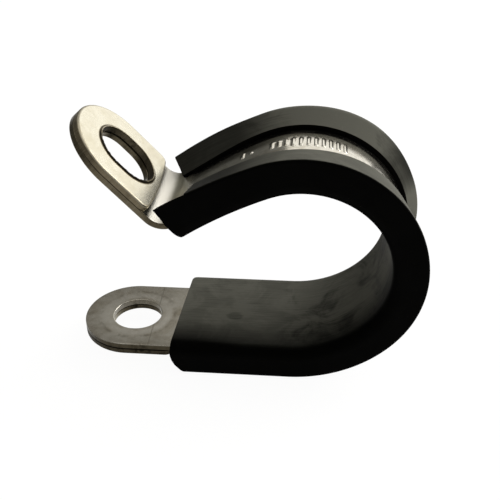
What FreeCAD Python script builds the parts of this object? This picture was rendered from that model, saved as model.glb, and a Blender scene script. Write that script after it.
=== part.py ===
import FreeCAD, Part
import math
import os

import Sketcher
from FreeCAD import Placement, Rotation, Vector

# P clip: a stainless strip bent into an open loop, lined with a rubber channel, with a
# reinforcing plate on the outer face of each of its two bolting ears.
#
# Frame: the origin is on the axis of the lower ear's bolt hole, at the underside of the lower
# plate. +X runs from the ears towards the loop, +Y across the strip and +Z up.
# The strip's route is drawn along the middle of its thickness.

doc = FreeCAD.newDocument("p_clip")
sheet = doc.addObject("Spreadsheet::Sheet", "Sizes")

# Driving sizes, in millimetres and degrees
driving_sizes = [
    ("pipe_diameter", 20.6, "pipe that the loop is made for"),
    ("band_width", 12.7, "width of the steel strip"),
    ("band_thickness", 0.75, "thickness of the steel strip"),
    ("plate_thickness", 0.8, "thickness of each reinforcing plate"),
    ("plate_length", 12.8, "plate, from the ear's tip to its inner end"),
    ("plate_end_radius", 42.0, "shallow curve of a plate's inner end"),
    ("plate_corner_radius", 1.1, "corners of a plate's inner end"),
    ("plate_edge_size", 0.18, "eased edge on a plate's outer face"),
    ("lower_hole_diameter", 6.4, "round bolt hole of the lower ear"),
    ("lower_hole_from_tip", 6.85, "lower ear's tip to the centre of its hole"),
    ("slot_width", 7.0, "oblong bolt hole of the upper plate, across"),
    ("slot_straight", 1.3, "straight part of that hole's sides, along the ear"),
    ("slot_step", 0.2, "ledge that the strip leaves inside the plate's slot"),
    ("slot_from_tip", 7.4, "upper ear's tip to the centre of its slot"),
    ("hole_to_liner", 6.0, "lower hole's centre to the middle of the liner's cut end"),
    ("leg_length", 14.15, "straight stretch of the lower leg inside the liner"),
    ("leg_radius", 13.85, "curve from the lower leg into the loop"),
    ("leg_sweep", 50.0, "turn of that curve"),
    ("loop_sweep", 152.5, "turn of the loop that grips the pipe"),
    ("arm_radius", 52.8, "slight bow of the upper arm"),
    ("arm_sweep", 12.2, "turn of that bow"),
    ("arm_end", 0.25, "straight stretch from the bow to the bend"),
    ("bend_radius", 2.37, "bend from the upper arm to the upper ear"),
    ("bend_sweep", 82.5, "turn of that bend"),
    ("ear_length", 13.2, "flat of the upper ear, from the bend to its tip"),
    ("liner_width", 16.2, "rubber liner, across"),
    ("cushion_thickness", 1.3, "rubber between the strip and the pipe"),
    ("cushion_edge_radius", 1.4, "rounding along the cushion's two edges"),
    ("near_wall_height", 2.1, "front wall, above the strip's outer face"),
    ("near_lip_height", 2.0, "front lip's tip, above the strip's outer face"),
    ("near_lip_to_middle", 4.2, "front lip's tip to the strip's middle line"),
    ("far_wall_height", 2.35, "rear wall, above the strip's outer face"),
    ("far_lip_height", 0.7, "rear lip's tip, above the strip's outer face"),
    ("far_lip_to_middle", 5.1, "rear lip's tip to the strip's middle line"),
    ("wall_edge_radius", 0.5, "rounding along the walls' outer edges"),
    ("liner_clearance", 0.03, "gap between the strip and the rubber round it"),
    ("end_waste", 1.0, "rubber beyond each end's middle, before its cut"),
    ("lower_end_skew", 3.0, "lower cut, turned so that the front wall runs on further"),
    ("upper_end_lean", 9.0, "upper cut, leaning so that the walls' outer edges run on further"),
    ("near_lip_cutback", 3.05, "front lip's trimmed length behind the bend"),
    ("far_lip_cutback", 0.7, "rear lip's trimmed length at its tip, cut aslant"),
    ("far_lip_run_on", 0.33, "rear lip's reach past the bend's start at its root"),
    ("liner_corner_radius", 2.6, "rounded outer corner of the lower cut end"),
    ("cut_margin", 1.0, "how far a cutting outline runs past the metal"),
]

# Sizes worked out from the driving ones, as formulas in the same sheet
derived_sizes = [
    ("half_width", "band_width / 2"),
    ("half_thickness", "band_thickness / 2"),
    ("route_height", "plate_thickness + band_thickness / 2"),
    ("lower_tip_x", "-lower_hole_from_tip"),
    ("lower_flat_length", "lower_hole_from_tip + hole_to_liner + leg_length"),
    ("loop_radius", "pipe_diameter / 2 + cushion_thickness + band_thickness / 2"),
    ("arm_tilt", "180 - (leg_sweep + loop_sweep + arm_sweep)"),
    ("ear_tilt", "180 - (leg_sweep + loop_sweep + arm_sweep - bend_sweep)"),
    ("cut_depth", "4 * (band_thickness + plate_thickness)"),
    ("liner_half_width", "liner_width / 2"),
    ("cushion_face", "band_thickness / 2 + cushion_thickness"),
    ("slot_face", "band_thickness / 2 + liner_clearance"),
    ("slot_half_width", "band_width / 2 + liner_clearance"),
    ("near_wall_face", "band_thickness / 2 + near_wall_height"),
    ("far_wall_face", "band_thickness / 2 + far_wall_height"),
    ("near_tip_face", "band_thickness / 2 + near_lip_height"),
    ("far_tip_face", "band_thickness / 2 + far_lip_height"),
    ("near_cut_from", "near_lip_to_middle - cut_margin"),
    ("far_cut_from", "far_lip_to_middle - cut_margin"),
    ("liner_start", "hole_to_liner - end_waste"),
    ("liner_leg_length", "leg_length + end_waste"),
    ("end_cut_reach", "end_waste + cut_margin"),
    ("end_cut_height", "band_thickness / 2 + far_wall_height + cut_margin"),
    ("end_cut_half", "liner_width / 2 + cut_margin"),
    ("corner_reach", "2 * liner_corner_radius"),
    ("liner_cut_width", "liner_width + 2 * cut_margin"),
]

for row, (alias, value, note) in enumerate(driving_sizes, start=1):
    sheet.set(f"A{row}", note)
    sheet.set(f"B{row}", str(value))
    sheet.setAlias(f"B{row}", alias)
for row, (alias, formula) in enumerate(derived_sizes, start=len(driving_sizes) + 2):
    sheet.set(f"B{row}", "=" + formula)
    sheet.setAlias(f"B{row}", alias)
doc.recompute()


def size(alias):
    """A cell's present value."""
    return float(sheet.get(alias))


def new_body(name):
    body = doc.addObject("PartDesign::Body", name)
    body.Label = name
    return body


def new_sketch(body, name, plane):
    """An empty sketch on one of the body's own origin planes."""
    sketch = body.newObject("Sketcher::SketchObject", name)
    support = [item for item in body.Origin.OriginFeatures if item.Role == plane][0]
    sketch.AttachmentSupport = (support, "")
    sketch.MapMode = "FlatFace"
    return sketch


def bind(sketch, expression, *terms):
    """Adds a dimension to the sketch and ties it to an expression."""
    index = sketch.addConstraint(Sketcher.Constraint(*terms))
    sketch.setExpression(f"Constraints[{index}]", expression)


def measure(sketch, name, *terms):
    """Adds a named dimension that only reads the sketch, for other pieces to follow."""
    index = sketch.addConstraint(Sketcher.Constraint(*terms))
    sketch.setDriving(index, False)
    sketch.renameConstraint(index, name)


class Point:
    """The numbers by which a sketch names the points of an edge."""
    START = 1
    END = 2
    CENTRE = 3


ORIGIN = (-1, Point.START)
X_AXIS, Y_AXIS = -1, -2


def draw_route(sketch, start_alias, steps):
    """Draws tangent lines and arcs one after another, from (start, 0) heading along +X.

    A step is (length,) for a line, or (radius, sweep, side) for an arc that turns left for
    side +1 and right for side -1. Lengths, radii and sweeps are cell names. Gives back each
    step's edge and the point at its far end.
    """
    x, y, heading = size(start_alias), 0.0, 0.0
    ends = []
    for step in steps:
        if len(step) == 1:
            length = size(step[0])
            end_x = x + length * math.cos(heading)
            end_y = y + length * math.sin(heading)
            edge = sketch.addGeometry(Part.LineSegment(Vector(x, y, 0), Vector(end_x, end_y, 0)), False)
            first, last = Point.START, Point.END
            bind(sketch, f"Sizes.{step[0]}", "Distance", edge, length)
        else:
            radius, sweep, side = size(step[0]), math.radians(size(step[1])), step[2]
            centre = Vector(x - side * radius * math.sin(heading), y + side * radius * math.cos(heading), 0)
            from_angle = heading - side * math.pi / 2
            to_angle = from_angle + side * sweep
            circle = Part.Circle(centre, Vector(0, 0, 1), radius)
            arc = Part.ArcOfCircle(circle, min(from_angle, to_angle), max(from_angle, to_angle))
            edge = sketch.addGeometry(arc, False)
            first, last = (Point.START, Point.END) if side > 0 else (Point.END, Point.START)
            bind(sketch, f"Sizes.{step[0]}", "Radius", edge, radius)
            bind(sketch, f"Sizes.{step[1]}", "Angle", edge, sweep)
            end_x = centre.x + radius * math.cos(to_angle)
            end_y = centre.y + radius * math.sin(to_angle)
            heading += side * sweep
        if not ends:
            bind(sketch, f"Sizes.{start_alias}", "DistanceX", *ORIGIN, edge, first, x)
            sketch.addConstraint(Sketcher.Constraint("PointOnObject", edge, first, X_AXIS))
            sketch.addConstraint(Sketcher.Constraint("Horizontal", edge))
        else:
            sketch.addConstraint(Sketcher.Constraint("Tangent", *ends[-1], edge, first))
        ends.append((edge, last))
        x, y = end_x, end_y
    return ends


def draw_profile(sketch, corners):
    """Draws a closed outline through corners, each (x sign, x cell, y sign, y cell, radius cell).

    A sign of 0 puts the corner on that axis, and a radius cell of None leaves it sharp. A rounded
    corner keeps its sharp place as a construction point, and the dimensions hold that point.
    """
    points = [Vector(sx and sx * size(xa), sy and sy * size(ya), 0) for sx, xa, sy, ya, radius in corners]
    count = len(points)
    trims = []
    for i, corner in enumerate(corners):
        back = (points[i - 1] - points[i]).normalize()
        ahead = (points[(i + 1) % count] - points[i]).normalize()
        radius = size(corner[4]) if corner[4] else 0.0
        half_angle = back.getAngle(ahead) / 2
        reach = radius / math.tan(half_angle)
        middle = (back + ahead).normalize() * (radius / math.sin(half_angle))
        trims.append((points[i] + back * reach, points[i] + ahead * reach, points[i] + middle, radius))
    lines = []
    for i in range(count):
        line = Part.LineSegment(trims[i][1], trims[(i + 1) % count][0])
        lines.append(sketch.addGeometry(line, False))
    for i, (sx, xa, sy, ya, radius_cell) in enumerate(corners):
        before, after = lines[i - 1], lines[i]
        if radius_cell is None:
            sketch.addConstraint(Sketcher.Constraint("Coincident", before, Point.END, after, Point.START))
            held = (after, Point.START)
        else:
            into, out_of, centre, radius = trims[i]
            turn = (points[i] - points[i - 1]).cross(points[(i + 1) % count] - points[i]).z
            start, stop = (into, out_of) if turn > 0 else (out_of, into)
            start_angle = math.atan2(start.y - centre.y, start.x - centre.x)
            stop_angle = math.atan2(stop.y - centre.y, stop.x - centre.x)
            circle = Part.Circle(centre, Vector(0, 0, 1), radius)
            arc = sketch.addGeometry(Part.ArcOfCircle(circle, start_angle, stop_angle), False)
            near, far = (Point.START, Point.END) if turn > 0 else (Point.END, Point.START)
            sketch.addConstraint(Sketcher.Constraint("Tangent", before, Point.END, arc, near))
            sketch.addConstraint(Sketcher.Constraint("Tangent", arc, far, after, Point.START))
            bind(sketch, f"Sizes.{radius_cell}", "Radius", arc, radius)
            mark = sketch.addGeometry(Part.Point(points[i]), True)
            sketch.addConstraint(Sketcher.Constraint("PointOnObject", mark, Point.START, before))
            sketch.addConstraint(Sketcher.Constraint("PointOnObject", mark, Point.START, after))
            held = (mark, Point.START)
        if sx:
            bind(sketch, f"{sx} * Sizes.{xa}", "DistanceX", *ORIGIN, *held, points[i].x)
        else:
            sketch.addConstraint(Sketcher.Constraint("PointOnObject", *held, Y_AXIS))
        if sy:
            bind(sketch, f"{sy} * Sizes.{ya}", "DistanceY", *ORIGIN, *held, points[i].y)
        else:
            sketch.addConstraint(Sketcher.Constraint("PointOnObject", *held, X_AXIS))


def sweep_along(body, name, section, route):
    """Sweeps a closed section along the route."""
    pipe = body.newObject("PartDesign::AdditivePipe", name)
    pipe.Profile = (section, [""])
    pipe.Spine = (route, [f"Edge{i + 1}" for i in range(len(route.Shape.Edges))])
    pipe.Mode = "Frenet"
    return pipe


def cut(body, name, sketch, depth_cell, both_sides=True):
    """Cuts a sketch's outline away to both sides of its plane, or only to the side it faces."""
    pocket = body.newObject("PartDesign::Pocket", name)
    pocket.Profile = (sketch, [""])
    pocket.Type = "Length"
    pocket.Midplane = both_sides
    pocket.Reversed = not both_sides
    pocket.setExpression("Length", f"Sizes.{depth_cell}")
    return pocket


def draw_hole(sketch, centre_cell, width, width_expression, straight_cell=None):
    """A round hole on the X axis, or an oblong one along it where a straight part is given."""
    radius, centre_x = width / 2, size(centre_cell)
    up = Vector(0, 0, 1)
    if straight_cell is None:
        hole = sketch.addGeometry(Part.Circle(Vector(centre_x, 0, 0), up, radius), False)
        bind(sketch, f"({width_expression}) / 2", "Radius", hole, radius)
        sketch.addConstraint(Sketcher.Constraint("PointOnObject", hole, Point.CENTRE, X_AXIS))
        bind(sketch, f"Sizes.{centre_cell}", "DistanceX", *ORIGIN, hole, Point.CENTRE, centre_x)
        return
    half_run = size(straight_cell) / 2
    first_x, last_x = centre_x - half_run, centre_x + half_run
    left = Part.Circle(Vector(first_x, 0, 0), up, radius)
    right = Part.Circle(Vector(last_x, 0, 0), up, radius)
    left_end = sketch.addGeometry(Part.ArcOfCircle(left, math.pi / 2, 3 * math.pi / 2), False)
    right_end = sketch.addGeometry(Part.ArcOfCircle(right, -math.pi / 2, math.pi / 2), False)
    lower_side = sketch.addGeometry(
        Part.LineSegment(Vector(first_x, -radius, 0), Vector(last_x, -radius, 0)), False)
    upper_side = sketch.addGeometry(
        Part.LineSegment(Vector(last_x, radius, 0), Vector(first_x, radius, 0)), False)
    outline = [left_end, lower_side, right_end, upper_side]
    for first, second in zip(outline, outline[1:] + outline[:1]):
        sketch.addConstraint(Sketcher.Constraint("Tangent", first, Point.END, second, Point.START))
    for end in (left_end, right_end):
        sketch.addConstraint(Sketcher.Constraint("PointOnObject", end, Point.CENTRE, X_AXIS))
    bind(sketch, f"({width_expression}) / 2", "Radius", left_end, radius)
    for end, sign, x in ((left_end, "-", first_x), (right_end, "+", last_x)):
        bind(sketch, f"Sizes.{centre_cell} {sign} Sizes.{straight_cell} / 2",
             "DistanceX", *ORIGIN, end, Point.CENTRE, x)


def draw_tip_trim(sketch):
    """The waste outside a full-round ear tip, whose foremost point is at the origin."""
    radius, margin = size("half_width"), size("cut_margin")
    circle = Part.Circle(Vector(radius, 0, 0), Vector(0, 0, 1), radius)
    tip = sketch.addGeometry(Part.ArcOfCircle(circle, math.pi / 2, 3 * math.pi / 2), False)
    outline = [
        Vector(radius, -radius, 0),
        Vector(radius, -radius - margin, 0),
        Vector(-margin, -radius - margin, 0),
        Vector(-margin, radius + margin, 0),
        Vector(radius, radius + margin, 0),
        Vector(radius, radius, 0),
    ]
    lines = [sketch.addGeometry(Part.LineSegment(a, b), False) for a, b in zip(outline, outline[1:])]
    for first, second in zip(lines, lines[1:]):
        sketch.addConstraint(Sketcher.Constraint("Coincident", first, Point.END, second, Point.START))
    sketch.addConstraint(Sketcher.Constraint("Coincident", tip, Point.END, lines[0], Point.START))
    sketch.addConstraint(Sketcher.Constraint("Coincident", lines[-1], Point.END, tip, Point.START))
    for line, direction in zip(lines, ("Vertical", "Horizontal", "Vertical", "Horizontal", "Vertical")):
        sketch.addConstraint(Sketcher.Constraint(direction, line))
    sketch.addConstraint(Sketcher.Constraint("PointOnObject", tip, Point.CENTRE, X_AXIS))
    bind(sketch, "Sizes.half_width", "Radius", tip, radius)
    bind(sketch, "Sizes.half_width", "DistanceX", *ORIGIN, tip, Point.CENTRE, radius)
    bind(sketch, "Sizes.half_width", "DistanceX", *ORIGIN, tip, Point.START, radius)
    bind(sketch, "Sizes.half_width", "DistanceX", *ORIGIN, tip, Point.END, radius)
    bind(sketch, "-Sizes.cut_margin", "DistanceX", *ORIGIN, lines[2], Point.START, -margin)
    for sign, point in ((-1, Point.START), (1, Point.END)):
        bind(sketch, f"{sign} * (Sizes.half_width + Sizes.cut_margin)",
             "DistanceY", *ORIGIN, lines[2], point, sign * (radius + margin))


def place_on_upper_ear(item, prefix):
    """Ties a place to the upper ear's tip: X towards the bend, Z out of the ear's outer face."""
    item.setExpression(f"{prefix}.Base.x", "BandRoute.Constraints.ear_tip_x")
    item.setExpression(f"{prefix}.Rotation.Angle", "Sizes.ear_tilt")


# Band: one strip of stainless steel, blanked with a round tip and a hole at each end and bent
band = new_body("band")
band.setExpression("Placement.Base.z", "Sizes.route_height")

band_route = new_sketch(band, "BandRoute", "XZ_Plane")
band_ends = draw_route(band_route, "lower_tip_x", [
    ("lower_flat_length",),
    ("leg_radius", "leg_sweep", 1),
    ("loop_radius", "loop_sweep", 1),
    ("arm_radius", "arm_sweep", 1),
    ("arm_end",),
    ("bend_radius", "bend_sweep", -1),
    ("ear_length",),
])
measure(band_route, "ear_tip_x", "DistanceX", *ORIGIN, *band_ends[-1], 0.0)
measure(band_route, "ear_tip_z", "DistanceY", *ORIGIN, *band_ends[-1], 0.0)

band_section = new_sketch(band, "BandSection", "YZ_Plane")
band_section.setExpression("AttachmentOffset.Base.z", "Sizes.lower_tip_x")
draw_profile(band_section, [
    (-1, "half_width", -1, "half_thickness", None),
    (1, "half_width", -1, "half_thickness", None),
    (1, "half_width", 1, "half_thickness", None),
    (-1, "half_width", 1, "half_thickness", None),
])
doc.recompute()
sweep_along(band, "BentStrip", band_section, band_route)

lower_tip = new_sketch(band, "LowerTip", "XY_Plane")
lower_tip.setExpression("AttachmentOffset.Base.x", "Sizes.lower_tip_x")
draw_tip_trim(lower_tip)
draw_hole(lower_tip, "lower_hole_from_tip", size("lower_hole_diameter"), "Sizes.lower_hole_diameter")
cut(band, "LowerTipCut", lower_tip, "cut_depth")

upper_tip = new_sketch(band, "UpperTip", "XY_Plane")
upper_tip.AttachmentOffset = Placement(Vector(0, 0, 0), Rotation(Vector(0, 1, 0), size("ear_tilt")))
place_on_upper_ear(upper_tip, "AttachmentOffset")
upper_tip.setExpression("AttachmentOffset.Base.z", "BandRoute.Constraints.ear_tip_z")
draw_tip_trim(upper_tip)
draw_hole(upper_tip, "slot_from_tip", size("slot_width") - 2 * size("slot_step"),
          "Sizes.slot_width - 2 * Sizes.slot_step", "slot_straight")
cut(band, "UpperTipCut", upper_tip, "cut_depth")
doc.recompute()


def make_plate(name, side, hole):
    """A stamped plate with the ear's outline: round tip, shallow curved inner end, eased outer edge.

    It is drawn from the ear's tip at the origin, on the strip's middle plane, and stands off it
    to the +Z side for side +1 and to the -Z side for side -1.
    """
    plate = new_body(name)
    sketch = new_sketch(plate, name.title().replace("_", "") + "Outline", "XY_Plane")
    sketch.setExpression("AttachmentOffset.Base.z", f"{side} * Sizes.half_thickness")
    half, corner = size("half_width"), size("plate_corner_radius")
    end_radius, length = size("plate_end_radius"), size("plate_length")
    end_centre = length - end_radius
    corner_x = end_centre + math.sqrt((end_radius - corner) ** 2 - (half - corner) ** 2)
    lean = math.atan2(half - corner, corner_x - end_centre)
    up = Vector(0, 0, 1)

    def draw_arc(x, y, radius, start_angle, stop_angle):
        circle = Part.Circle(Vector(x, y, 0), up, radius)
        return sketch.addGeometry(Part.ArcOfCircle(circle, start_angle, stop_angle), False)

    tip = draw_arc(half, 0, half, math.pi / 2, 3 * math.pi / 2)
    near_side = sketch.addGeometry(
        Part.LineSegment(Vector(half, -half, 0), Vector(corner_x, -half, 0)), False)
    near_corner = draw_arc(corner_x, corner - half, corner, -math.pi / 2, -lean)
    inner_end = draw_arc(end_centre, 0, end_radius, -lean, lean)
    far_corner = draw_arc(corner_x, half - corner, corner, lean, math.pi / 2)
    far_side = sketch.addGeometry(
        Part.LineSegment(Vector(corner_x, half, 0), Vector(half, half, 0)), False)
    outline = [tip, near_side, near_corner, inner_end, far_corner, far_side]
    for first, second in zip(outline, outline[1:] + outline[:1]):
        sketch.addConstraint(Sketcher.Constraint("Tangent", first, Point.END, second, Point.START))
    sketch.addConstraint(Sketcher.Constraint("Horizontal", near_side))
    sketch.addConstraint(Sketcher.Constraint("PointOnObject", tip, Point.CENTRE, X_AXIS))
    sketch.addConstraint(Sketcher.Constraint("PointOnObject", inner_end, Point.CENTRE, X_AXIS))
    sketch.addConstraint(Sketcher.Constraint("Equal", near_corner, far_corner))
    bind(sketch, "Sizes.half_width", "Radius", tip, half)
    bind(sketch, "Sizes.half_width", "DistanceX", *ORIGIN, tip, Point.CENTRE, half)
    bind(sketch, "Sizes.plate_corner_radius", "Radius", near_corner, corner)
    bind(sketch, "Sizes.plate_end_radius", "Radius", inner_end, end_radius)
    bind(sketch, "Sizes.plate_length - Sizes.plate_end_radius",
         "DistanceX", *ORIGIN, inner_end, Point.CENTRE, end_centre)
    draw_hole(sketch, *hole)
    pad = plate.newObject("PartDesign::Pad", name.title().replace("_", "") + "Pad")
    pad.Profile = (sketch, [""])
    pad.setExpression("Length", "Sizes.plate_thickness")
    pad.Reversed = side < 0
    doc.recompute()
    outer_height = side * (size("half_thickness") + size("plate_thickness"))
    outer_face = [
        f"Face{i + 1}" for i, face in enumerate(pad.Shape.Faces)
        if abs(face.CenterOfMass.z - outer_height) < 1e-6 and face.Area > size("half_width")
    ]
    eased = plate.newObject("PartDesign::Chamfer", name.title().replace("_", "") + "EasedEdge")
    eased.Base = (pad, outer_face)
    eased.setExpression("Size", "Sizes.plate_edge_size")
    return plate


# Upper plate: seated on the upper ear's outer face, with the oblong hole
upper_plate = make_plate("upper_plate", 1, (
    "slot_from_tip", size("slot_width"), "Sizes.slot_width", "slot_straight"))
upper_plate.Placement = Placement(Vector(0, 0, 0), Rotation(Vector(0, 1, 0), size("ear_tilt")))
place_on_upper_ear(upper_plate, "Placement")
upper_plate.setExpression("Placement.Base.z", "BandRoute.Constraints.ear_tip_z + Sizes.route_height * 1 mm")

# Lower plate: seated under the lower ear, with the round hole
lower_plate = make_plate("lower_plate", -1, (
    "lower_hole_from_tip", size("lower_hole_diameter"), "Sizes.lower_hole_diameter"))
lower_plate.setExpression("Placement.Base.x", "Sizes.lower_tip_x")
lower_plate.setExpression("Placement.Base.z", "Sizes.route_height")

# Liner: one extruded rubber channel, pushed over the strip's edges. It is drawn a little too
# long at both ends, which are then cut aslant.
liner = new_body("liner")
liner.setExpression("Placement.Base.z", "Sizes.route_height")

liner_route = new_sketch(liner, "LinerRoute", "XZ_Plane")
liner_ends = draw_route(liner_route, "liner_start", [
    ("liner_leg_length",),
    ("leg_radius", "leg_sweep", 1),
    ("loop_radius", "loop_sweep", 1),
    ("arm_radius", "arm_sweep", 1),
    ("arm_end",),
    ("end_waste",),
])
measure(liner_route, "arm_end_x", "DistanceX", *ORIGIN, *liner_ends[-2], 0.0)
measure(liner_route, "arm_end_z", "DistanceY", *ORIGIN, *liner_ends[-2], 0.0)

# Inside the loop is up in this section, so the cushion is above the strip and the lips below
liner_section = new_sketch(liner, "LinerSection", "YZ_Plane")
liner_section.setExpression("AttachmentOffset.Base.z", "Sizes.liner_start")
draw_profile(liner_section, [
    (1, "liner_half_width", 1, "cushion_face", "cushion_edge_radius"),
    (-1, "liner_half_width", 1, "cushion_face", "cushion_edge_radius"),
    (-1, "liner_half_width", -1, "near_wall_face", "wall_edge_radius"),
    (-1, "near_lip_to_middle", -1, "near_tip_face", None),
    (-1, "near_lip_to_middle", -1, "slot_face", None),
    (-1, "slot_half_width", -1, "slot_face", None),
    (-1, "slot_half_width", 1, "slot_face", None),
    (1, "slot_half_width", 1, "slot_face", None),
    (1, "slot_half_width", -1, "slot_face", None),
    (1, "far_lip_to_middle", -1, "slot_face", None),
    (1, "far_lip_to_middle", -1, "far_tip_face", None),
    (1, "liner_half_width", -1, "far_wall_face", "wall_edge_radius"),
])
doc.recompute()
sweep_along(liner, "BentChannel", liner_section, liner_route)

# At the upper end both lips are trimmed back from the bend, and the walls run on to the cut
for name, corners in (
    ("NearLipTrim", [
        (-1, "end_cut_reach", -1, "slot_half_width", None),
        (1, "near_lip_cutback", -1, "slot_half_width", None),
        (1, "near_lip_cutback", -1, "near_cut_from", None),
        (-1, "end_cut_reach", -1, "near_cut_from", None),
    ]),
    ("FarLipTrim", [
        (-1, "end_cut_reach", 1, "far_cut_from", None),
        (1, "far_lip_cutback", 1, "far_cut_from", None),
        (1, "far_lip_cutback", 1, "far_lip_to_middle", None),
        (-1, "far_lip_run_on", 1, "slot_half_width", None),
        (-1, "end_cut_reach", 1, "slot_half_width", None),
    ]),
):
    lip_trim = new_sketch(liner, name, "XY_Plane")
    lip_trim.AttachmentOffset = Placement(Vector(0, 0, 0), Rotation(Vector(0, 1, 0), size("arm_tilt")))
    lip_trim.setExpression("AttachmentOffset.Base.x", "LinerRoute.Constraints.arm_end_x")
    lip_trim.setExpression("AttachmentOffset.Base.z", "LinerRoute.Constraints.arm_end_z")
    lip_trim.setExpression("AttachmentOffset.Rotation.Angle", "Sizes.arm_tilt")
    draw_profile(lip_trim, corners)
    cut(liner, name + "Cut", lip_trim, "cut_depth", both_sides=False)

# The upper cut leans back towards the cushion
upper_end = new_sketch(liner, "UpperEnd", "XZ_Plane")
upper_end.AttachmentOffset = Placement(Vector(0, 0, 0), Rotation(Vector(0, 0, 1), -size("arm_tilt")))
upper_end.setExpression("AttachmentOffset.Base.x", "LinerRoute.Constraints.arm_end_x")
upper_end.setExpression("AttachmentOffset.Base.y", "LinerRoute.Constraints.arm_end_z")
upper_end.setExpression("AttachmentOffset.Rotation.Angle", "Sizes.upper_end_lean - Sizes.arm_tilt")
draw_profile(upper_end, [
    (-1, "end_cut_reach", -1, "end_cut_height", None),
    (0, None, -1, "end_cut_height", None),
    (0, None, 1, "end_cut_height", None),
    (-1, "end_cut_reach", 1, "end_cut_height", None),
])
cut(liner, "UpperEndCut", upper_end, "liner_cut_width")

# The lower cut is square to the strip's face and skewed across it
lower_end = new_sketch(liner, "LowerEnd", "XY_Plane")
lower_end.AttachmentOffset = Placement(Vector(0, 0, 0), Rotation(Vector(0, 0, 1), -size("lower_end_skew")))
lower_end.setExpression("AttachmentOffset.Base.x", "Sizes.hole_to_liner")
lower_end.setExpression("AttachmentOffset.Rotation.Angle", "-Sizes.lower_end_skew")
draw_profile(lower_end, [
    (-1, "end_cut_reach", -1, "end_cut_half", None),
    (0, None, -1, "end_cut_half", None),
    (0, None, 1, "end_cut_half", None),
    (-1, "end_cut_reach", 1, "end_cut_half", None),
])
cut(liner, "LowerEndCut", lower_end, "cut_depth")

# The outer corner of both walls is rounded off at that end
corner_waste = new_sketch(liner, "CornerWaste", "XZ_Plane")
corner_waste.AttachmentOffset = Placement(
    Vector(0, 0, 0), Rotation(Vector(0, 1, 0), -size("lower_end_skew")))
corner_waste.setExpression("AttachmentOffset.Base.x", "Sizes.hole_to_liner")
corner_waste.setExpression("AttachmentOffset.Base.y", "-Sizes.far_wall_face")
corner_waste.setExpression("AttachmentOffset.Rotation.Angle", "-Sizes.lower_end_skew")
draw_profile(corner_waste, [
    (-1, "cut_margin", -1, "cut_margin", None),
    (1, "corner_reach", -1, "cut_margin", None),
    (1, "corner_reach", 0, None, None),
    (0, None, 0, None, "liner_corner_radius"),
    (0, None, 1, "corner_reach", None),
    (-1, "cut_margin", 1, "corner_reach", None),
])
cut(liner, "CornerRound", corner_waste, "liner_cut_width")
doc.recompute()

sub_parts = [band, upper_plate, lower_plate, liner]
for item in doc.Objects:
    if "Invalid" in item.State or "Error" in item.State:
        raise RuntimeError(f"{item.Name} failed: {item.State}")
for part in sub_parts:
    if part.Shape.isNull() or not part.Shape.isValid():
        raise RuntimeError(f"{part.Label} has no valid shape")

os.makedirs("parts", exist_ok=True)
for part in sub_parts:
    part.Shape.exportStep(f"parts/{part.Label}.step")
    box = part.Shape.BoundBox
    print(part.Label, len(part.Shape.Solids), round(part.Shape.Volume, 2),
          [round(value, 2) for value in (box.XMin, box.YMin, box.ZMin, box.XMax, box.YMax, box.ZMax)])
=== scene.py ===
import math

import bpy
from mathutils import Matrix, Vector
from mathutils.geometry import delaunay_2d_cdt


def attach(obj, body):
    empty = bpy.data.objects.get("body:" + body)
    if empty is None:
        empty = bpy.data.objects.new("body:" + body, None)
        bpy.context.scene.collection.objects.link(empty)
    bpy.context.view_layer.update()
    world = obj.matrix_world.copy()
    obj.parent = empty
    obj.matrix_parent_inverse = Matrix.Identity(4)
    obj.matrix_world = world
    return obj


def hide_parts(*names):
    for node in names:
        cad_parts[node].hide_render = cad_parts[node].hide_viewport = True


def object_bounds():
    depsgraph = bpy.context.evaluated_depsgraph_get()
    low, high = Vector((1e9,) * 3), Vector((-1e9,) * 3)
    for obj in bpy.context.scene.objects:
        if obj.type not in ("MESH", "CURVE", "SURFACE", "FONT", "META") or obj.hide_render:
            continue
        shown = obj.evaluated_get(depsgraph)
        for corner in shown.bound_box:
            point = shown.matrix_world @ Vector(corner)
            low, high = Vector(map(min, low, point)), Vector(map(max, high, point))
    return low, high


# P clip, in metres, in the frame of its CAD model: +X from the bolting ears towards the loop, +Y
# across the strip and away from the camera, +Z up. Pieces are laid out in millimetres along the strip.
bpy.ops.wm.read_factory_settings(use_empty=True)
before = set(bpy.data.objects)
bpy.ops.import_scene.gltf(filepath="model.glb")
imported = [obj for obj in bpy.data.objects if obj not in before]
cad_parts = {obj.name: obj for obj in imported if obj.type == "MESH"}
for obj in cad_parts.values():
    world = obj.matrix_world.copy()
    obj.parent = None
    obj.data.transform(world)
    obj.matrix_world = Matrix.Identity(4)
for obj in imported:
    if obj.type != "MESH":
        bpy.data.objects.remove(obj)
cad_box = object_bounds()
scene = bpy.context.scene

# The band: one strip of stainless steel. It is blanked with a round tip and a bolt hole at each end,
# stamped with plain marks, and bent into the lower leg, the loop, the upper arm and the upper ear.
strip_half_width = 6.35
strip_half_thickness = 0.375
strip_edge = 0.09
lower_hole_at = 6.85
lower_hole_radius = 3.2
lower_hole_straight = 0.15
upper_slot_from_tip = 7.4
upper_slot_radius = 3.3
slot_straight = 1.3
torn_inward = 0.12


def along_run(x, z, heading, curve, distance):
    """Where a straight or curved run leads to, and its heading there."""
    turned = heading + curve * distance
    if curve:
        x += (math.sin(turned) - math.sin(heading)) / curve
        z -= (math.cos(turned) - math.cos(heading)) / curve
    else:
        x += distance * math.cos(heading)
        z += distance * math.sin(heading)
    return x, z, turned


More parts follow.
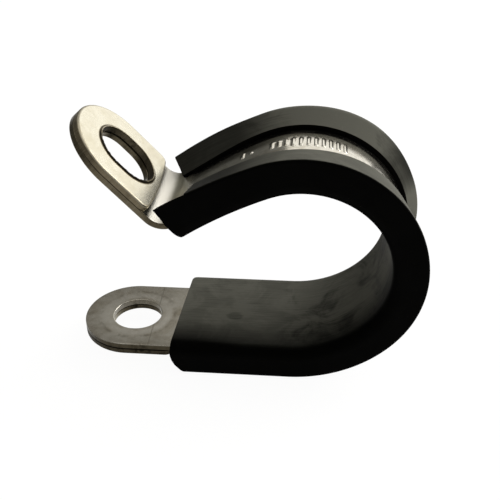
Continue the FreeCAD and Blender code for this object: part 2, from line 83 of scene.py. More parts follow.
# The strip's middle line, from the lower ear's tip: straight runs (length) and arcs (radius, turn)
lower_ear_height = 1.175
runs = [(27.0,), (13.85, 50.0), (11.975, 152.5), (52.8, 12.2), (0.25,), (2.37, -82.5), (13.2,)]
pieces_of_line = []
x, z, heading, travelled = -lower_hole_at, lower_ear_height, 0.0, 0.0
for run in runs:
    curve = 0.0 if len(run) == 1 else math.copysign(1 / run[0], run[1])
    length = run[0] if len(run) == 1 else run[0] * math.radians(abs(run[1]))
    pieces_of_line.append((travelled, x, z, heading, curve))
    x, z, heading = along_run(x, z, heading, curve, length)
    travelled += length
strip_length = travelled
upper_bend_at = pieces_of_line[5][0]
upper_ear_at = pieces_of_line[6][0]


def on_strip(s, y, out):
    """The place s along the strip's middle line, y across it and out from it.

    Returns that place, the outward normal there and the direction along the strip.
    """
    start, *run = [piece for piece in pieces_of_line if piece[0] <= max(s, 0.0)][-1]
    x, z, heading = along_run(*run, s - start)
    normal = Vector((math.sin(heading), 0.0, -math.cos(heading)))
    return Vector((x, y, z)) + normal * out, normal, Vector((math.cos(heading), 0.0, math.sin(heading)))


def arc(x, y, radius, start, stop, count):
    """Points on a circle with their outward directions, angles in degrees, both ends included."""
    angles = [math.radians(start + (stop - start) * i / count) for i in range(count + 1)]
    return [(x + radius * math.cos(a), y + radius * math.sin(a), math.cos(a), math.sin(a)) for a in angles]


def straight(start, stop, step):
    """Points between two places, both left out, with the direction that lies to the right of the way."""
    (x0, y0), (x1, y1) = start, stop
    length = math.hypot(x1 - x0, y1 - y0)
    count = max(1, round(length / step))
    normal = ((y1 - y0) / length, (x0 - x1) / length)
    return [(x0 + (x1 - x0) * i / count, y0 + (y1 - y0) * i / count, *normal) for i in range(1, count)]


def hole_outline(at, radius, straight_length):
    """A round or oblong hole, with directions that point out of the metal into the hole."""
    half = straight_length / 2
    end_steps, side_step = 36, 0.4
    points = arc(at - half, 0.0, radius, 90, 270, end_steps)
    if half:
        points += straight((at - half, -radius), (at + half, -radius), side_step)
    points += arc(at + half, 0.0, radius, -90, 90, end_steps)[0 if half else 1:]
    if half:
        points += straight((at + half, radius), (at - half, radius), side_step)
    else:
        points.pop()
    return [(x, y, -nx, -ny) for x, y, nx, ny in reversed(points)]


def sheet_metal(name, outlines, inner, outer, edges, seam_inside, torn, burr, inside, relief=None):
    """A plate or strip from its flat outlines, with rounded edges, bent along the strip's line.

    The first outline is the edge all round, and the others are holes. inner and outer are the two
    faces, out from the middle line, and edges their rounding. seam_inside tells which of the two lies
    on another sheet. torn scales each outline's wall mark, which sets how rough the material makes the
    sheared wall and how much painted shade it lays on it, and burr says how high a rim the punch raised
    round each hole. inside lists extra points that let the faces bend, and relief raises the outer face
    at a flat place. Each vertex gets its exact normal, its flat place as texture coordinates and a
    mark: 0 on a clean face, 1 where the metal was sheared, 2 in a seam full of dirt and more on a torn
    fringe, which the material paints black as the burr's painted shadow.
    """
    quarter_turn = [math.pi / 2 * i / 6 for i in range(7)]
    inner_edge, outer_edge = edges
    inner_mark, outer_mark = (2.0, 0.6) if seam_inside else (0.3, 2.0)
    wall_from, wall_until, face_from = 1.4, 0.4, 1.5
    # The torn fringe's mark makes the material paint it black, as the burr's painted shadow
    fringe_reach, fringe_mark = 0.25, 7.0
    least_torn = 0.05
    places, normals, flats, sheared = [], [], [], []

    def add(s, y, out, ns, ny, nout, edge):
        place, normal, along = on_strip(s, y, out)
        places.append(place * 0.001)
        normals.append(normal * nout + along * ns + Vector((0.0, ny, 0.0)))
        flats.append((s, y))
        sheared.append(edge)
        return len(places) - 1

    def fringe(x, ny):
        """How far the torn burr leans into a hole. It does so from the hole's -Y side only."""
        ragged = 0.75 + 0.25 * math.sin(9 * x) * math.sin(23 * x + 1)
        return fringe_reach * math.sqrt(max(ny, 0.0)) * ragged

    # Each level of an edge: how far in from the outline, how far out, the normal's two parts, the mark
    # and its share of the fringe. The lower ones end at the sheared wall, and the others start there.
    lower_levels = [
        (inner_edge * (1 - math.sin(a)), inner + inner_edge * (1 - math.cos(a)),
         math.sin(a), -math.cos(a), 1.0 if a > wall_from else inner_mark, 0.0)
        for a in quarter_turn]
    rounded_levels = [
        (outer_edge * (1 - math.cos(a)), outer - outer_edge * (1 - math.sin(a)),
         math.cos(a), math.sin(a),
         1.0 if a < wall_until else outer_mark if a < face_from else 0.0, 0.0)
        for a in quarter_turn]
    burred_levels = [
        (0.00, outer - 0.1, 1.0, 0.0, 1.0, 0.3),
        (0.00, outer + 0.4 * burr, 1.0, 0.1, 1.0, 1.0),
        (0.03, outer + 0.8 * burr, 0.7, 0.7, 0.5, 1.0),
        (0.09, outer + burr, 0.0, 1.0, 0.1, 0.8),
        (0.17, outer + 0.8 * burr, -0.7, 0.7, 0.9, 0.4),
        (0.27, outer + 0.3 * burr, -0.7, 0.7, 1.0, 0.1),
        (0.34, outer + 0.03 * burr, -0.2, 1.0, 0.4, 0.0),
        (0.40, outer, 0.0, 1.0, 0.0, 0.0),
    ]
    faces, rims = [], ([], [])
    for number, outline in enumerate(outlines):
        # A hole with no burr gets its wall mark on its rear, +Y side, where the outline's directions point
        # to -Y. The material paints that wall darker as a painted dark reflection
        is_hole = number > 0
        rings = []
        for inset, out, side, face, edge, share in (
                lower_levels + (burred_levels if is_hole and burr else rounded_levels)):
            ring = []
            for x, y, nx, ny in outline:
                lean = share * fringe(x, ny)
                uneven = max(-ny, least_torn) if is_hole and not burr else 1.0
                ring.append(add(
                    x + nx * (lean - inset), y + ny * (lean - inset), out,
                    nx * side, ny * side, face, (edge + fringe_mark * lean) * torn[number] * uneven))
            rings.append(ring)
        for lower, upper in zip(rings, rings[1:]):
            for i in range(len(outline)):
                j = (i + 1) % len(outline)
                faces.append((upper[i], upper[j], lower[j], lower[i]))
        rims[0].append(rings[0])
        rims[1].append(rings[-1])

    # The two faces. A triangle whose corners all lie on one hole's rim would close the hole.
    for loops, out, face in ((rims[0], inner, -1.0), (rims[1], outer, 1.0)):
        spots, sides, owners = [], [], []
        outline_of = {}
        for number, loop in enumerate(loops):
            first = len(spots)
            for i, vertex in enumerate(loop):
                spots.append(Vector(flats[vertex]))
                sides.append((first + i, first + (i + 1) % len(loop)))
                owners.append(vertex)
                outline_of[vertex] = number
        for s, y in inside:
            spots.append(Vector((s, y)))
            rise, slope_s, slope_y = relief(s, y) if relief and face > 0 else (0.0, 0.0, 0.0)
            owners.append(add(s, y, out + rise, -slope_s, -slope_y, face, 0.0))
        _, _, triangles, kept, _, _ = delaunay_2d_cdt(spots, sides, [], 1, 1e-6)
        for triangle in triangles:
            corners = [owners[kept[i][0]] for i in triangle]
            met = {outline_of.get(corner, 0) for corner in corners}
            if len(met) > 1 or met == {0}:
                faces.append(corners[::-1] if face > 0 else corners)

    mesh = bpy.data.meshes.new(name)
    mesh.from_pydata(places, [], faces)
    mesh.validate()
    unrolled = mesh.uv_layers.new(name="unrolled")
    for loop in mesh.loops:
        unrolled.data[loop.index].uv = flats[loop.vertex_index]
    mark = mesh.attributes.new("sheared", "FLOAT", "POINT")
    mark.data.foreach_set("value", sheared)
    mesh.polygons.foreach_set("use_smooth", [True] * len(mesh.polygons))
    mesh.normals_split_custom_set_from_vertices([normal.normalized() for normal in normals])
    made = bpy.data.objects.new(name, mesh)
    scene.collection.objects.link(made)
    return made


# A row of plain stamped bars crosses the outer face: each bar's place along the strip and half length.
# The metal rises to a bar over one slope on the loop's side, one on the ear's, and one at its ends.
first_bar, bar_pitch = 61.9, 0.84
bars = [(first_bar + bar_pitch * number, 1.0 if number < 8 else 0.75) for number in range(11)]
bars += [(72.9, 0.1), (74.0, 0.55)]
bar_middle, bar_half_width, bar_height = 1.95, 0.07, 0.10
loop_slope, ear_slope, end_slope = 0.29, 0.13, 0.16


def stamped(s, y):
    """Height of the stamped bars and its slope along and across the strip."""

    def height(s, y):
        bar, half_length = min(bars, key=lambda each: abs(s - each[0]))
        along = max(abs(s - bar) - bar_half_width, 0.0) / (loop_slope if s < bar else ear_slope)
        across = max(abs(y - bar_middle) - half_length, 0.0) / end_slope
        top = 1.0 - min(math.hypot(along, across), 1.0)
        return bar_height * top * top * (3 - 2 * top)

    h = 0.02
    slope_s = (height(s + h, y) - height(s - h, y)) / (2 * h)
    slope_y = (height(s, y + h) - height(s, y - h)) / (2 * h)
    return height(s, y), slope_s, slope_y


# The tips are as round as the strip is wide
tip = strip_half_width
tip_steps, row_step = 48, 0.35
strip_outline = (
    arc(tip, 0.0, tip, 90, 270, tip_steps)
    + straight((tip, -tip), (strip_length - tip, -tip), row_step)
    + arc(strip_length - tip, 0.0, tip, -90, 90, tip_steps)
    + straight((strip_length - tip, tip), (tip, tip), row_step)
)
rows_from, rows_in_bend = 13.0, 24
rows = [rows_from + row_step * i for i in range(int((upper_bend_at - rows_from - 0.2) / row_step) + 1)]
rows += [upper_bend_at + (upper_ear_at - upper_bend_at) * i / rows_in_bend
         for i in range(-1, rows_in_bend + 2)]
bending_points = [(s, y) for s in rows for y in (-6.1, -5.0, -2.5, 0.0, 2.5, 5.0, 6.1)]
for bar, half_length in bars:
    steps = [-bar_half_width - loop_slope * k / 5 for k in range(6)] + [0.0]
    steps += [bar_half_width + ear_slope * k / 4 for k in range(5)] + [0.40]
    ends = [half_length + end_slope * k / 4 for k in range(5)] + [half_length * 0.5, half_length + 0.4]
    for step in steps:
        bending_points += [(bar + step, bar_middle + sign * end) for end in ends for sign in (-1, 1)]
        bending_points.append((bar + step, bar_middle))
band = sheet_metal(
    "steel_band",
    [strip_outline,
     hole_outline(lower_hole_at, lower_hole_radius - torn_inward, lower_hole_straight),
     hole_outline(strip_length - upper_slot_from_tip, upper_slot_radius - torn_inward, slot_straight)],
    inner=-strip_half_thickness, outer=strip_half_thickness, edges=(strip_edge, strip_edge),
    seam_inside=False, torn=(1.0, 0.7, 2.3), burr=0.0, inside=bending_points, relief=stamped)


class Socket:
    """A value in a material's node tree. Arithmetic on it adds Math nodes."""

    def __init__(self, tree, link=None):
        self.tree = tree
        self.link = link

    def node(self, kind, settings, values, output=0):
        """Adds a node: its settings first, then the values or links of its sockets."""
        made = self.tree.nodes.new(kind)
        for name, value in settings.items():
            setattr(made, name, value)
        for name, value in values.items():
            if isinstance(value, Socket):
                self.tree.links.new(value.link, made.inputs[name])
            else:
                made.inputs[name].default_value = value
        return Socket(self.tree, made.outputs[output] if made.outputs else None)

    def maths(self, operation, *values):
        return self.node("ShaderNodeMath", {"operation": operation}, dict(enumerate(values)))

    def __add__(self, other):
        return self.maths("ADD", self, other)

    def __sub__(self, other):
        return self.maths("SUBTRACT", self, other)

    def __rsub__(self, other):
        return self.maths("SUBTRACT", other, self)

    def __mul__(self, other):
        return self.maths("MULTIPLY", self, other)

    __radd__ = __add__
    __rmul__ = __mul__

    def between(self, low, high):
        """0 below low, 1 above high, and a smooth rise between them."""
        return self.node("ShaderNodeMapRange", {"interpolation_type": "SMOOTHSTEP"},
                         {"Value": self, "From Min": low, "From Max": high})

    def within(self, rise_from, rise_to, fall_from, fall_to):
        """A smooth rise to 1 and, further on, a smooth fall back to 0."""
        return self.between(rise_from, rise_to) * (1 - self.between(fall_from, fall_to))

    def blend(self, colour, other):
        """colour where this value is 0 and other where it is 1."""
        values = {0: self, 6: colour, 7: other}
        return self.node("ShaderNodeMix", {"data_type": "RGBA"}, values, 2)

    def noise(self, place, scale, detail, roughness=0.5, distortion=0.0):
        values = {"Vector": place, "Scale": scale, "Detail": detail, "Roughness": roughness,
                  "Distortion": distortion}
        return self.node("ShaderNodeTexNoise", {}, values)

    def stretched(self, place, x, y, z):
        return self.node("ShaderNodeMapping", {}, {"Vector": place, "Scale": (x, y, z)})


def new_material(name):
    material = bpy.data.materials.new(name)
    material.use_nodes = True
    material.node_tree.nodes.clear()
    return material, Socket(material.node_tree)


def finish_material(here, surface):
    here.node("ShaderNodeOutputMaterial", {}, {"Surface": surface})


def satin_steel(name, face_colour, tint, edge_shade_and_mark_colour, roughness):
    """Rolled stainless sheet: fine lines along it, faint stains, and sheared edges painted darker as
    painted shade.
    """
    # The colours below: a worn washer ring, painted shade before the upper bend, a painted highlight round
    # the bend, and a near-black that serves as seam dirt and as painted shade on sheared walls
    washer_bright = (0.86, 0.84, 0.78, 1)
    olive_painted_shade = (0.30, 0.29, 0.22, 1)
    bend_painted_highlight = (0.82, 0.80, 0.735, 1)
    dirt_and_shade = (0.012, 0.010, 0.006, 1)
    bump_strength, bump_depth = 0.12, 0.00003

    material, here = new_material(name)
    flat = here.node("ShaderNodeUVMap", {"uv_map": "unrolled"}, {})
    solid = here.node("ShaderNodeTexCoord", {}, {}, "Object")
    sheared = here.node("ShaderNodeAttribute", {"attribute_name": "sheared"}, {}, "Fac")
    cut = sheared.maths("MINIMUM", sheared, 1.0)
    lines = here.noise(here.stretched(flat, 0.35, 7.0, 1.0), scale=2.4, detail=5.0, roughness=0.65)
    stains = here.noise(solid, scale=330.0, detail=4.0, roughness=0.6, distortion=0.4).between(0.42, 0.72)
    specks = here.noise(solid, scale=2100.0, detail=2.0).between(0.66, 0.76)
    mottle = here.noise(solid, scale=900.0, detail=4.0, roughness=0.7)
    torn = here.noise(here.stretched(flat, 4.0, 4.0, 1.0), scale=3.0, detail=4.0, roughness=0.7)

    # Round the upper bend the strip gets a painted highlight. Just before it, at the liner's end, it is
    # painted a dull olive as painted shade, and from there on to the ear it is rougher
    along = here.node("ShaderNodeSeparateXYZ", {}, {"Vector": flat}, "X")
    before_ear = 1 - along.between(upper_ear_at - 0.3, upper_ear_at + 0.6)
    bent = along.between(upper_bend_at + 1.0, upper_bend_at + 2.2) * before_ear
    from_before_bend = along.between(upper_bend_at - 2.6, upper_bend_at - 0.2) * before_ear

    # The lower ear has a line pressed across it and a worn ring where a washer sat round the hole
    lower_ear = 1 - along.between(15.0, 60.0)
    pressed_line = along.within(9.22, 9.34, 9.36, 9.48)
    from_hole = here.node("ShaderNodeVectorMath", {"operation": "DISTANCE"},
                          {0: flat, 1: (lower_hole_at, 0.0, 0.0)}, "Value")
    pressed = from_hole.within(3.35, 3.9, 4.2, 4.9) * (stains * 0.8 + 0.2)
    scuffed = from_hole.within(4.5, 4.9, 4.9, 5.3) * mottle.between(0.4, 0.6)

    colour = (stains * 0.7 + mottle.between(0.35, 0.75) * 0.4).blend(face_colour, tint)
    colour = (lines.between(0.35, 0.75) * 0.25).blend(colour, tint)
    colour = (pressed * 0.65).blend(colour, washer_bright)
    colour = (from_before_bend * (1 - bent) * 0.8).blend(colour, olive_painted_shade)
    colour = (bent * 0.95).blend(colour, bend_painted_highlight)
    colour = (scuffed * 0.35 + pressed_line * 0.4).blend(colour, edge_shade_and_mark_colour)
    # Sheared walls take the dark edge colour as a painted dark reflection. Then a near-black is laid on as
    # seam dirt and as painted shade: on sheared walls, most on the lower ear, on the holes' rear walls,
    # and on the upper slot's torn fringe as the burr's painted shadow
    colour = sheared.blend(colour, (torn.between(0.45, 0.8) * 0.3).blend(edge_shade_and_mark_colour, tint))
    dirt_and_painted_shade = cut * (lower_ear * 0.45 + mottle.between(0.45, 0.70) * 0.35)
    dirt_and_painted_shade = dirt_and_painted_shade + sheared.between(1.0, 1.9) * (lower_ear * 0.8 + 0.2) + sheared.between(2.1, 3.3)
    colour = dirt_and_painted_shade.blend(colour, dirt_and_shade)
    rough = stains * 0.06 + (lines - 0.5) * 0.10 + cut * 0.2 + specks * 0.1 + roughness
    rough = rough + from_before_bend * 0.22 + bent * 0.14
    height = lines * 0.5 + torn * cut * 1.5 + specks * 0.3 + mottle * 0.35 + bent * mottle * 0.6
    normal = here.node("ShaderNodeBump", {}, {
        "Height": height, "Strength": bump_strength, "Distance": bump_depth})
    finish_material(here, here.node("ShaderNodeBsdfPrincipled", {}, {
        "Base Color": colour, "Metallic": 1.0, "Roughness": rough, "Normal": normal}))
    return material


band.data.materials.append(satin_steel(
    "satin stainless strip", face_colour=(0.66, 0.64, 0.58, 1), tint=(0.43, 0.395, 0.32, 1),
    edge_shade_and_mark_colour=(0.125, 0.105, 0.068, 1), roughness=0.11))
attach(band, "root")
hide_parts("band")

# The two reinforcing plates: stamped from thicker stainless steel with the ears' outline, a shallow
# curved inner end and edges rolled over by the punch, and held on the ears' outer faces by the bolt.
plate_thickness = 0.8
plate_length = 12.8
plate_end_radius = 42.0
plate_corner = 1.1
plate_slot_radius = upper_slot_radius + 0.06


def plate_outline():
    """The ear's round tip at 0, straight sides, small corners and a shallow curved inner end."""
    round_steps, corner_steps, end_steps, side_step = 64, 10, 24, 0.5
    end_centre = plate_length - plate_end_radius
    corner_x = end_centre + math.sqrt((plate_end_radius - plate_corner) ** 2 - (tip - plate_corner) ** 2)
    lean = math.degrees(math.atan2(tip - plate_corner, corner_x - end_centre))
    return (
        arc(tip, 0.0, tip, 90, 270, round_steps)
        + straight((tip, -tip), (corner_x, -tip), side_step)
        + arc(corner_x, plate_corner - tip, plate_corner, -90, -lean, corner_steps)
        + arc(end_centre, 0.0, plate_end_radius, -lean, lean, end_steps)[1:-1]
        + arc(corner_x, tip - plate_corner, plate_corner, lean, 90, corner_steps)
        + straight((corner_x, tip), (tip, tip), side_step)
    )


def mirrored(outline):
    """The same outline measured back from the strip's far end."""
    return [(strip_length - x, y, -nx, ny) for x, y, nx, ny in reversed(outline)]


plate_faces = {"inner": strip_half_thickness, "outer": strip_half_thickness + plate_thickness}
lower_plate = sheet_metal(
    "lower_ear_plate",
    [plate_outline(), hole_outline(lower_hole_at, lower_hole_radius, 0.0)],
    **plate_faces, edges=(0.15, 0.13), seam_inside=True, torn=(1.3, 1.3), burr=0.0, inside=[])
upper_plate = sheet_metal(
    "upper_ear_plate",
    [mirrored(plate_outline()),
     hole_outline(strip_length - upper_slot_from_tip, plate_slot_radius, slot_straight)],
    **plate_faces, edges=(0.08, 0.31), seam_inside=True, torn=(1.0, 2.6), burr=0.15, inside=[])
plate_steel = satin_steel(
    "stamped stainless plate", face_colour=(0.72, 0.69, 0.58, 1), tint=(0.56, 0.52, 0.40, 1),
    edge_shade_and_mark_colour=(0.180, 0.150, 0.098, 1), roughness=0.27)
for plate, node in ((lower_plate, "lower_plate"), (upper_plate, "upper_plate")):
    plate.data.materials.append(plate_steel)
    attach(plate, "root")
    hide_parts(node)
    node + "_steel"

# The liner: one extruded channel of black rubber, pushed over the strip's two edges. A cushion lines
# the loop, and two lips lie over the strip's outer face. Both ends are cut with a knife.
liner_half_width = 8.095
cushion = 1.675
cushion_round = 1.4
near_wall, near_lip, near_lip_from = 2.42, 1.45, 2.95
far_wall, far_lip, far_lip_from = 2.725, 0.93, 5.4
wall_round = 0.5
slot_out = 0.405
slot_half = 6.38
liner_start = 12.85
liner_end = upper_bend_at
knife_edge = 0.05
near_lip_cut = liner_end - 3.8

# How the two ends are cut: the lower one askew with round corners, the upper one leaning
lower_skew = math.tan(math.radians(3.0))
lower_corner = 3.3
cushion_corner_from, cushion_corner, cushion_corner_depth = 6.3, 1.1, 0.6
lower_cut_fades_over = 9.0
upper_lean = math.tan(math.radians(9.0))
far_end_reach, far_corner_reach, near_crest_cut = 0.10, 0.42, 0.45
upper_cut_fades_over = 4.0


def rounded_path(corners):
    """Points round a closed outline of (y, out, radius), with extra ones on its flats."""

    def unit(start, stop):
        return (Vector(stop[:2]) - Vector(start[:2])).normalized()

    path = []
    count = len(corners)
    for i, (y, out, radius) in enumerate(corners):
        here = Vector((y, out))
        following = corners[(i + 1) % count]
        back = unit(corners[i], corners[i - 1])
        ahead = unit(corners[i], following)
        half = back.angle(ahead) / 2
        reach = radius / math.tan(half)
        middle = here + (back + ahead).normalized() * (radius / math.sin(half))
        start, stop = here + back * reach, here + ahead * reach
        a0 = math.atan2(start.y - middle.y, start.x - middle.x)
        a1 = math.atan2(stop.y - middle.y, stop.x - middle.x)
        sweep = (a1 - a0 + math.pi) % (2 * math.pi) - math.pi
        steps = 8 if radius > 1.0 else 5
        for k in range(steps + 1):
            a = a0 + sweep * k / steps
            path.append((middle.x + radius * math.cos(a), middle.y + radius * math.sin(a)))
        following_half = unit(following, corners[(i + 2) % count]).angle(-ahead) / 2
        end = Vector(following[:2]) - ahead * (following[2] / math.tan(following_half))
        flat = (end - stop).length
        near_ends = min(0.12, flat / 4)
        for d in (near_ends, flat * 0.35, flat * 0.65, flat - near_ends):
            p = stop + ahead * d
            path.append((p.x, p.y))
    return path


def ease(s, start, stop):
    """0 before start, 1 after stop, and a smooth rise between them."""
    share = min(max((s - start) / (stop - start), 0.0), 1.0)
    return share * share * (3 - 2 * share)


def liner_section(s):
    """The channel's outline at s along the strip: y across and out from the strip's middle.

    The walls are pulled down round the loop, where they stretch most, and stand up along the arm. The
    rear wall's crest swells over the loop's top. Near the upper end the front lip is trimmed away, and
    the rear one lies lower and reaches further.
    """
    # The front wall and lip
    stand = ease(s, 48.0, 66.0)
    near_out = near_wall + 0.54 * stand + 0.14 * ease(s, 70.0, 80.0) + 0.28 * ease(s, 77.0, 82.0)
    near_tip_out = near_lip + 0.65 * stand
    near_tip = near_lip_from + 0.8 * ease(s, 57.0, 67.0)
    near_round = wall_round * 0.6
    if s > near_lip_cut:
        near_tip, near_tip_out, near_round = slot_half + 0.08, 1.35, 0.05

    # The rear wall and lip
    widen = ease(s, liner_end - 11.0, liner_end - 2.0)
    far_tip = far_lip_from - 1.1 * widen
    far_tip_out = far_lip - 0.105 * widen
    swell = ease(s, 52.0, 60.0) * (1 - 0.65 * ease(s, 60.5, 68.0)) * (1 - ease(s, 74.0, 82.0))
    far_out = far_wall + 0.42 * swell

    lip_round, slot_round = 0.06, 0.01
    return rounded_path([
        (liner_half_width, -cushion, cushion_round),
        (liner_half_width, far_out, wall_round),
        (far_tip, far_tip_out, lip_round),
        (far_tip, slot_out, lip_round * 0.5),
        (slot_half + 0.001, slot_out, slot_round),
        (slot_half, -slot_out, slot_round),
        (-slot_half, -slot_out, slot_round),
        (-slot_half - 0.001, slot_out, slot_round),
        (-near_tip, slot_out, lip_round * 0.5),
        (-near_tip, near_tip_out, lip_round),
        (-liner_half_width, near_out, near_round),
        (-liner_half_width, -cushion, cushion_round),
    ])


def end_shift(s, y, out):
    """How far the cuts at the two ends move a point along the strip."""
    shift = y * lower_skew
    over = out - (far_wall - lower_corner)
    if over > 0:
        shift += lower_corner - math.sqrt(max(lower_corner ** 2 - over ** 2, 0.0))
    if out < 0:
        round_off = min(max((y - cushion_corner_from) / cushion_corner, 0.0), 1.0)
        shift += cushion_corner_depth * (1 - math.sqrt(1 - round_off ** 2))
    shift *= max(0.0, 1 - (s - liner_start) / lower_cut_fades_over)
    reach = far_end_reach * ease(y, 2.0, 5.0) + far_corner_reach * ease(y, 4.5, 8.1)
    if y < 0:
        reach = -near_crest_cut * ease(out, 0.6, 3.0)
    return shift + (out * upper_lean + reach) * max(0.0, 1 - (liner_end - s) / upper_cut_fades_over)


def bloom_and_light_share(s, y, out, across):
    """How grey the rubber is: bloom together with painted light, most on the loop's lining and on the
    faces that look outwards, which are painted grey as if lit. The side walls stay black as painted shade.

    The lining is painted darker towards its front edge as painted shade, and a little darker towards its
    rear. The outer faces are painted darker towards the upper ear as painted shade, and the rear one has
    a painted shade dip where the loop turns back.
    """
    if out <= slot_out:
        lower = ease(s, 15.0, 22.0) * (1 - 0.4 * ease(s, 28.0, 34.0))
        lining = ease(across.x, 0.2, 0.9) * (1 - ease(-y, 3.6 + lower, 6.9 + 0.6 * lower))
        return lining * (1 - 0.22 * ease(y, 0.5, 5.5))
    towards_ear = 0.86 - 0.74 * ease(s, 66.0, 75.0)
    if y <= 0:
        return ease(-across.x, 0.86, 0.97) * towards_ear
    painted_shade_dip = ease(s, 49.0, 53.0) * (1 - ease(s, 54.0, 60.5))
    return ease(-across.x, 0.40, 0.72) * towards_ear * (1.45 - painted_shade_dip * (1.02 + 0.3 * ease(y, 6.0, 7.8)))


def on_liner(s, y, out):
    """As on_strip, but straight on past the strip's upper bend, which the rubber doesn't follow."""
    past = max(s - upper_bend_at, 0.0)
    place, _, along = on_strip(s - past, y, out)
    return place + along * past


# Sections along the liner. They stand closer at the front lip's cut and near the upper end.
station_step, close_step, hairline = 0.35, 0.2, 0.03
stations = [liner_start, liner_start + knife_edge]
while stations[-1] < liner_end - 4.5:
    stations.append(stations[-1] + station_step)
stations += [near_lip_cut - hairline, near_lip_cut, near_lip_cut + 0.002, near_lip_cut + hairline]
stations += [liner_end - 2.6 + close_step * i for i in range(13)]
stations += [liner_end - knife_edge, liner_end]
liner_places, liner_faces, liner_flats, liner_bloom_and_light = [], [], [], []
for row, s in enumerate(stations):
    section = liner_section(s)
    inset = knife_edge if row in (0, len(stations) - 1) else 0.0
    around = 0.0
    for k, (y, out) in enumerate(section):
        y0, out0 = section[k - 1]
        y2, out2 = section[(k + 1) % len(section)]
        across = Vector((y2 - y0, out2 - out0)).normalized()
        moved = s + end_shift(s, y, out)
        liner_places.append(on_liner(moved, y - across.y * inset, out + across.x * inset) * 0.001)
        liner_flats.append((moved, around))
        liner_bloom_and_light.append(bloom_and_light_share(s, y, out, across))
        around += math.hypot(y2 - y, out2 - out)
ring_size = len(section)
around_section = [(k, (k + 1) % ring_size) for k in range(ring_size)]
for row in range(len(stations) - 1):
    first = row * ring_size
    for k, following in around_section:
        liner_faces.append((first + k + ring_size, first + following + ring_size,
                            first + following, first + k))
for row, order in ((0, 1), (len(stations) - 1, -1)):
    spots = [Vector(point) for point in liner_section(stations[row])]
    _, _, triangles, kept, _, _ = delaunay_2d_cdt(spots, around_section, [], 1, 1e-6)
    for triangle in triangles:
        liner_faces.append([row * ring_size + kept[i][0] for i in triangle[::order]])
sharp_from = math.radians(32)
liner_mesh = bpy.data.meshes.new("rubber_liner")
liner_mesh.from_pydata(liner_places, [], liner_faces)
liner_mesh.validate()
unrolled = liner_mesh.uv_layers.new(name="unrolled")
for loop in liner_mesh.loops:
    unrolled.data[loop.index].uv = liner_flats[loop.vertex_index]
# Each vertex's share of bloom and painted light, for the material
mark = liner_mesh.attributes.new("bloom_and_painted_light", "FLOAT", "POINT")
mark.data.foreach_set("value", liner_bloom_and_light)
liner_mesh.polygons.foreach_set("use_smooth", [True] * len(liner_mesh.polygons))
liner_mesh.set_sharp_from_angle(angle=sharp_from)
liner = bpy.data.objects.new("rubber_liner", liner_mesh)
scene.collection.objects.link(liner)

# The grey is bloom together with painted light: the faces that look up and out are painted grey as if lit,
# and the rest stays black as painted shade
jet, bloom_and_lit_grey, dust_grey = (0.0008, 0.0008, 0.0006, 1), (0.122, 0.122, 0.104, 1), (0.20, 0.20, 0.17, 1)
rubber, here = new_material("black extruded rubber")
flat = here.node("ShaderNodeUVMap", {"uv_map": "unrolled"}, {})
solid = here.node("ShaderNodeTexCoord", {}, {}, "Object")
bloom_and_painted_light = here.node("ShaderNodeAttribute", {"attribute_name": "bloom_and_painted_light"}, {}, "Fac")
streaks = here.noise(here.stretched(flat, 0.10, 3.0, 1.0), scale=1.6, detail=4.0, roughness=0.6)
smears = here.noise(solid, scale=190.0, detail=5.0, roughness=0.6, distortion=1.2).between(0.40, 0.66)
dust = here.noise(solid, scale=2600.0, detail=2.0).between(0.60, 0.72)

# The lining is darker and more smeared round the lower curve, and has one blot on the leg
along = here.node("ShaderNodeSeparateXYZ", {}, {"Vector": flat}, "X")
lower_curve = along.within(25.0, 29.0, 44.0, 50.0)
blot_at = (10.7, -1.43, 0.855)
from_blot = here.node("ShaderNodeVectorMath", {"operation": "DISTANCE"}, {
    0: here.stretched(solid, 820.0, 1100.0, 300.0), 1: blot_at}, "Value")
blot = 1 - (from_blot + streaks * 0.5).between(0.85, 1.35)

shade = streaks.between(0.3, 0.7) * 0.28 - smears * (lower_curve * 0.35 + 0.30)
shade = shade - lower_curve * 0.16 - blot * 0.45 + 0.97
colour = (bloom_and_painted_light * shade).blend(jet, bloom_and_lit_grey)
colour = (dust * 0.08 * bloom_and_painted_light).blend(colour, dust_grey)
height = streaks * 0.4 + smears * 0.3 + dust * 0.3
normal = here.node("ShaderNodeBump", {}, {"Height": height, "Strength": 0.2, "Distance": 0.00004})
finish_material(here, here.node("ShaderNodeBsdfPrincipled", {}, {
    "Base Color": colour, "Roughness": 0.62 - smears * 0.12, "Specular IOR Level": 0.02,
    "Normal": normal}))
liner_mesh.materials.append(rubber)
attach(liner, "root")
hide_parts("liner")

# A pale floor under the clip, white to the camera, that keeps the clip's shadow. Its share of plain
# white light is larger for the camera than for the metal that mirrors it.
floor_mesh = bpy.data.meshes.new("floor")
floor_half = 3.0
low = cad_box[0].z
floor_mesh.from_pydata(
    [(-floor_half, -floor_half, low), (floor_half, -floor_half, low),
     (floor_half, floor_half, low), (-floor_half, floor_half, low)], [], [(0, 1, 2, 3)])
floor = bpy.data.objects.new("floor", floor_mesh)
scene.collection.objects.link(floor)
paper, here = new_material("pale floor")
seen = here.node("ShaderNodeLightPath", {}, {}, "Is Camera Ray")
mirrored_ray = here.node("ShaderNodeLightPath", {}, {}, "Is Glossy Ray")
plain = here.node("ShaderNodeBsdfDiffuse", {}, {"Color": (0.82, 0.82, 0.82, 1)})
white = here.node("ShaderNodeEmission", {}, {"Color": (1, 1, 1, 1), "Strength": 1.05})
share = seen * 0.9 + mirrored_ray * 0.4
finish_material(here, here.node("ShaderNodeMixShader", {}, {0: share, 1: plain, 2: white}))
floor_mesh.materials.append(paper)

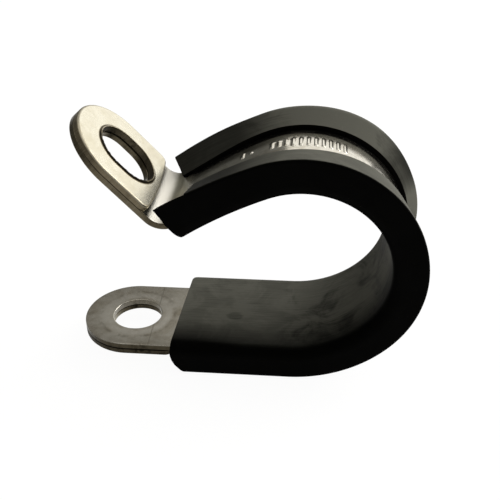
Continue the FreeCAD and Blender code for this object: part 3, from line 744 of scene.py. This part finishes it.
# The room: white to the camera, dim on the left, brighter on the right and overhead
dim_side, bright_side, ceiling = (0.10, 0.10, 0.09, 1), (0.32, 0.315, 0.30, 1), (0.37, 0.36, 0.335, 1)
world = bpy.data.worlds.new("studio")
scene.world = world
world.use_nodes = True
world.node_tree.nodes.clear()
here = Socket(world.node_tree)
seen = here.node("ShaderNodeLightPath", {}, {}, "Is Camera Ray")
way = here.node("ShaderNodeTexCoord", {}, {}, "Generated")
rightward = here.node("ShaderNodeSeparateXYZ", {}, {"Vector": way}, "X").between(-0.5, 0.25)
upward = here.node("ShaderNodeSeparateXYZ", {}, {"Vector": way}, "Z").between(0.2, 0.62)
room = upward.blend(rightward.blend(dim_side, bright_side), ceiling)
sky = seen.blend(room, (1, 1, 1, 1))
here.node("ShaderNodeOutputWorld", {}, {"Surface": here.node(
    "ShaderNodeBackground", {}, {"Color": sky, "Strength": 1.0})})

# Three soft lamps round the clip, all turned to its middle
clip_middle = Vector((0.015, 0.0, 0.012))


def softbox(name, azimuth, elevation, size, power, colour):
    """A flat rectangular lamp that faces the clip. Azimuth runs from +Y towards +X."""
    distance = 0.60
    data = bpy.data.lights.new(name, "AREA")
    data.shape = "RECTANGLE"
    data.size, data.size_y = size
    data.energy = power
    data.color = colour
    lamp = bpy.data.objects.new(name, data)
    a, e = math.radians(azimuth), math.radians(elevation)
    away = Vector((math.sin(a) * math.cos(e), math.cos(a) * math.cos(e), math.sin(e)))
    lamp.location = clip_middle + away * distance
    lamp.rotation_mode = "QUATERNION"
    lamp.rotation_quaternion = away.to_track_quat("Z", "Y")
    scene.collection.objects.link(lamp)


softbox("back right window", azimuth=29.0, elevation=20.5, size=(0.90, 0.35), power=0.95,
        colour=(1.0, 0.98, 0.94))
softbox("right key", azimuth=68.0, elevation=34.0, size=(0.50, 0.50), power=3.0,
        colour=(1.0, 0.98, 0.95))
softbox("overhead", azimuth=10.0, elevation=78.0, size=(0.5, 0.5), power=0.9,
        colour=(1.0, 0.99, 0.97))

# The camera stands where the photograph's edges put it
picture_width, focal_length_in_pixels = 500, 806.2
camera_place = (0.02285, -0.08364, 0.065915)
camera_data = bpy.data.cameras.new("camera")
camera_data.sensor_width = 36.0
camera_data.lens = focal_length_in_pixels / picture_width * camera_data.sensor_width
camera_data.clip_start, camera_data.clip_end = 0.001, 20.0
camera = bpy.data.objects.new("camera", camera_data)
azimuth, elevation, roll = math.radians(-5.379), math.radians(32.6), math.radians(-0.758)
forward = Vector((math.sin(azimuth) * math.cos(elevation), math.cos(azimuth) * math.cos(elevation),
                  -math.sin(elevation)))
level = Vector((math.cos(azimuth), -math.sin(azimuth), 0.0))
up = level.cross(forward)
right = level * math.cos(roll) + up * math.sin(roll)
up = up * math.cos(roll) - level * math.sin(roll)
turned = Matrix((right, up, -forward)).transposed().to_4x4()
camera.matrix_world = Matrix.Translation(camera_place) @ turned
scene.collection.objects.link(camera)
scene.camera = camera
scene.view_settings.view_transform = "Standard"
